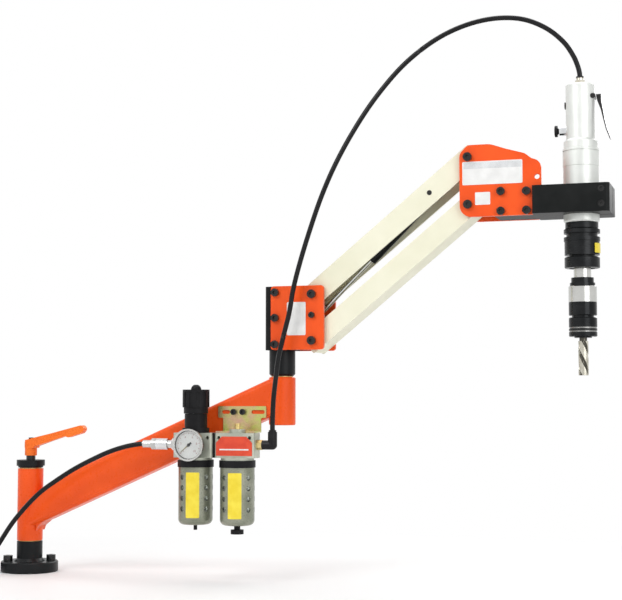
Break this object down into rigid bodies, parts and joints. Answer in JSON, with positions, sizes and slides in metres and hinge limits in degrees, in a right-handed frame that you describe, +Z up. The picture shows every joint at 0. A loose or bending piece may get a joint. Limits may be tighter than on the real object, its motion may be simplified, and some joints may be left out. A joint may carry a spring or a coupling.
{
  "type": "arm tapping machine",
  "caption": "Bench-mounted pneumatic tapping machine: swivelling cast arm and gas-strut link arm with a level air motor, quick-change chuck and tap, air unit and hoses.",
  "frame": {"origin": "centre of the base flange's underside, on the bench top, under the column's axis", "axes": "+Z up; +X along the arm as it stands, from the base to the tapping head; -Y is the side of the air unit and gauge"},
  "size_m": [1.1997, 0.1475, 0.929],
  "materials": {
    "black_paint": "satin black enamel",
    "orange_paint": "glossy orange enamel",
    "orange_lever": "satin orange powder coat",
    "cream_paint": "satin cream enamel",
    "black_anodised": "satin black anodised",
    "black_oxide": "black oxide",
    "bronze": "turned bronze",
    "steel": "ground steel",
    "chrome": "polished",
    "silver_alloy": "fine satin",
    "die_cast": "painted silver grey",
    "guard_metal": "grey olive lacquer",
    "clear_plastic": "clear",
    "black_plastic": "satin moulded",
    "zinc_plate": "yellow zinc plated",
    "brass": "turned",
    "hose_rubber": "smooth",
    "needle_paint": "matt"
  },
  "bodies": {
    "base": {"base_flange": "black_paint", "base_bolts": "black_oxide", "clamp_cap": "black_paint"},
    "clamp_screw": {"clamp_stud": "black_oxide"},
    "clamp_lever": {"clamp_lever": "orange_lever"},
    "lower_arm": {"arm_casting": "orange_paint", "arm_bushes": "bronze", "air_bracket": "zinc_plate", "bracket_screws": "black_oxide", "regulator_body": "die_cast", "regulator_bonnet": "black_plastic", "gauge_case": "black_paint", "gauge_lens": "clear_plastic", "lubricator_body": "die_cast", "unit_spacer": "black_plastic", "bowl_rings": "black_plastic", "bowl_guards": "guard_metal", "clear_bowls": "clear_plastic", "hose_coupling": "steel", "outlet_elbow": "black_plastic", "supply_hose": "hose_rubber", "supply_coil": "hose_rubber", "hose_plug": "steel"},
    "regulator_spindle": {"regulator_spindle": "steel"},
    "regulator_knob": {"regulator_knob": "black_plastic"},
    "gauge_needle": {"gauge_needle": "needle_paint"},
    "oil_screw": {"oil_screw": "brass"},
    "filter_drain": {"filter_drain": "black_plastic"},
    "oil_drain": {"oil_drain": "black_plastic"},
    "coupling_sleeve": {"coupling_sleeve": "chrome"},
    "swivel": {"swivel_shaft": "steel", "shaft_retainer": "black_oxide", "swivel_collar": "black_paint", "knuckle_block": "black_anodised", "knuckle_plates": "orange_paint", "knuckle_bolts": "black_oxide", "hose_riser": "hose_rubber"},
    "upper_link": {"upper_channel": "cream_paint", "upper_link_bushes": "bronze", "strut_pin": "black_oxide", "hose_arch": "hose_rubber"},
    "lower_link": {"lower_channel": "cream_paint", "lower_link_bushes": "bronze"},
    "strut_cylinder": {"strut_cylinder": "black_paint"},
    "strut_rod": {"strut_rod": "chrome"},
    "head": {"head_plates": "orange_paint", "head_bolts": "black_oxide", "head_block": "black_anodised", "motor_housing": "silver_alloy", "motor_head": "silver_alloy", "inlet_fitting": "chrome", "button_guide": "chrome", "hose_drop": "hose_rubber"},
    "reverse_button": {"reverse_button": "black_plastic"},
    "throttle_lever": {"throttle_lever": "black_oxide"},
    "chuck": {"chuck_body": "black_oxide", "tap_adapter": "steel", "tap": "steel"},
    "chuck_sleeve": {"chuck_sleeve": "black_oxide"},
    "adapter_collar": {"adapter_collar": "black_oxide"}
  },
  "joints": [
    {"name": "base_swivel", "type": "hinge", "parent": "base", "child": "lower_arm", "pos_m": [0, 0, 0.11], "axis": [0, 0, 1], "range_deg": [-170, 170]},
    {"name": "clamp_turn", "type": "hinge", "parent": "base", "child": "clamp_screw", "pos_m": [0, 0, 0.2], "axis": [0, 0, 1], "range_deg": [0, 90]},
    {"name": "lever_lift", "type": "slide", "parent": "clamp_screw", "child": "clamp_lever", "axis": [0, 0, 1], "range_m": [0, 0.004], "stiffness_N_per_m": 400, "springref_m": -0.012},
    {"name": "elbow_swivel", "type": "hinge", "parent": "lower_arm", "child": "swivel", "pos_m": [0.4615, 0, 0.3], "axis": [0, 0, 1], "range_deg": [-130, 130], "deforming": ["hose_riser"]},
    {"name": "link_pitch", "type": "hinge", "parent": "swivel", "child": "upper_link", "pos_m": [0.524, 0, 0.4668], "axis": [0, -1, 0], "range_deg": [-59, 10], "deforming": ["hose_arch"]},
    {"name": "lower_pitch", "type": "hinge", "parent": "swivel", "child": "lower_link", "pos_m": [0.524, 0, 0.3913], "axis": [0, -1, 0], "range_deg": [-59, 10]},
    {"name": "head_level", "type": "hinge", "parent": "upper_link", "child": "head", "pos_m": [0.78169, 0, 0.67772], "axis": [0, -1, 0], "range_deg": [-10, 59], "deforming": ["hose_drop"]},
    {"name": "strut_tilt", "type": "hinge", "parent": "upper_link", "child": "strut_cylinder", "pos_m": [0.71746, 0, 0.62514], "axis": [0, -1, 0], "range_deg": [-0.6, 2.8]},
    {"name": "strut_stroke", "type": "slide", "parent": "strut_cylinder", "child": "strut_rod", "axis": [-0.7091, 0, -0.7051], "range_m": [-0.0315, 0.0055]},
    {"name": "throttle_press", "type": "hinge", "parent": "head", "child": "throttle_lever", "pos_m": [0.97519, 0, 0.76872], "axis": [0, 1, 0], "range_deg": [0, 12], "stiffness_Nm_per_rad": 0.6, "springref_deg": -20.05},
    {"name": "reverse_press", "type": "slide", "parent": "head", "child": "reverse_button", "axis": [1, 0, 0], "range_m": [0, 0.002], "stiffness_N_per_m": 400, "springref_m": -0.012},
    {"name": "spindle_spin", "type": "hinge", "parent": "head", "child": "chuck", "pos_m": [0.95419, 0, 0.52], "axis": [0, 0, 1], "continuous": true},
    {"name": "chuck_release", "type": "slide", "parent": "chuck", "child": "chuck_sleeve", "axis": [0, 0, 1], "range_m": [0, 0.0025], "stiffness_N_per_m": 800, "springref_m": -0.01},
    {"name": "tap_release", "type": "slide", "parent": "chuck", "child": "adapter_collar", "axis": [0, 0, 1], "range_m": [0, 0.0025], "stiffness_N_per_m": 800, "springref_m": -0.01},
    {"name": "pressure_turn", "type": "hinge", "parent": "lower_arm", "child": "regulator_spindle", "pos_m": [0.332, -0.058, 0.27], "axis": [0, 0, 1], "range_deg": [-360, 360]},
    {"name": "knob_pull", "type": "slide", "parent": "regulator_spindle", "child": "regulator_knob", "axis": [0, 0, 1], "range_m": [0, 0.004]},
    {"name": "needle_turn", "type": "hinge", "parent": "lower_arm", "child": "gauge_needle", "pos_m": [0.334, -0.095, 0.223], "axis": [0, 1, 0], "range_deg": [0, 260], "stiffness_Nm_per_rad": 0.001, "springref_deg": -17.19},
    {"name": "oil_adjust", "type": "hinge", "parent": "lower_arm", "child": "oil_screw", "pos_m": [0.4045, -0.058, 0.25], "axis": [0, 0, 1], "range_deg": [-180, 180]},
    {"name": "drain_push", "type": "slide", "parent": "lower_arm", "child": "filter_drain", "axis": [0, 0, 1], "range_m": [0, 0.002], "stiffness_N_per_m": 300, "springref_m": -0.01},
    {"name": "oil_drain_turn", "type": "hinge", "parent": "lower_arm", "child": "oil_drain", "pos_m": [0.4045, -0.058, 0.09], "axis": [0, 0, 1], "range_deg": [-90, 180]},
    {"name": "coupling_release", "type": "slide", "parent": "lower_arm", "child": "coupling_sleeve", "axis": [1, 0, 0], "range_m": [0, 0.005], "stiffness_N_per_m": 400, "springref_m": -0.008}
  ],
  "couplings": [
    {"joint": "lower_pitch", "follows": "link_pitch", "ratio": 1},
    {"joint": "head_level", "follows": "link_pitch", "ratio": -1},
    {"joint": "strut_tilt", "follows": "link_pitch", "ratio": -0.046},
    {"joint": "strut_stroke", "follows": "link_pitch", "m_per_rad": 0.030224}
  ]
}
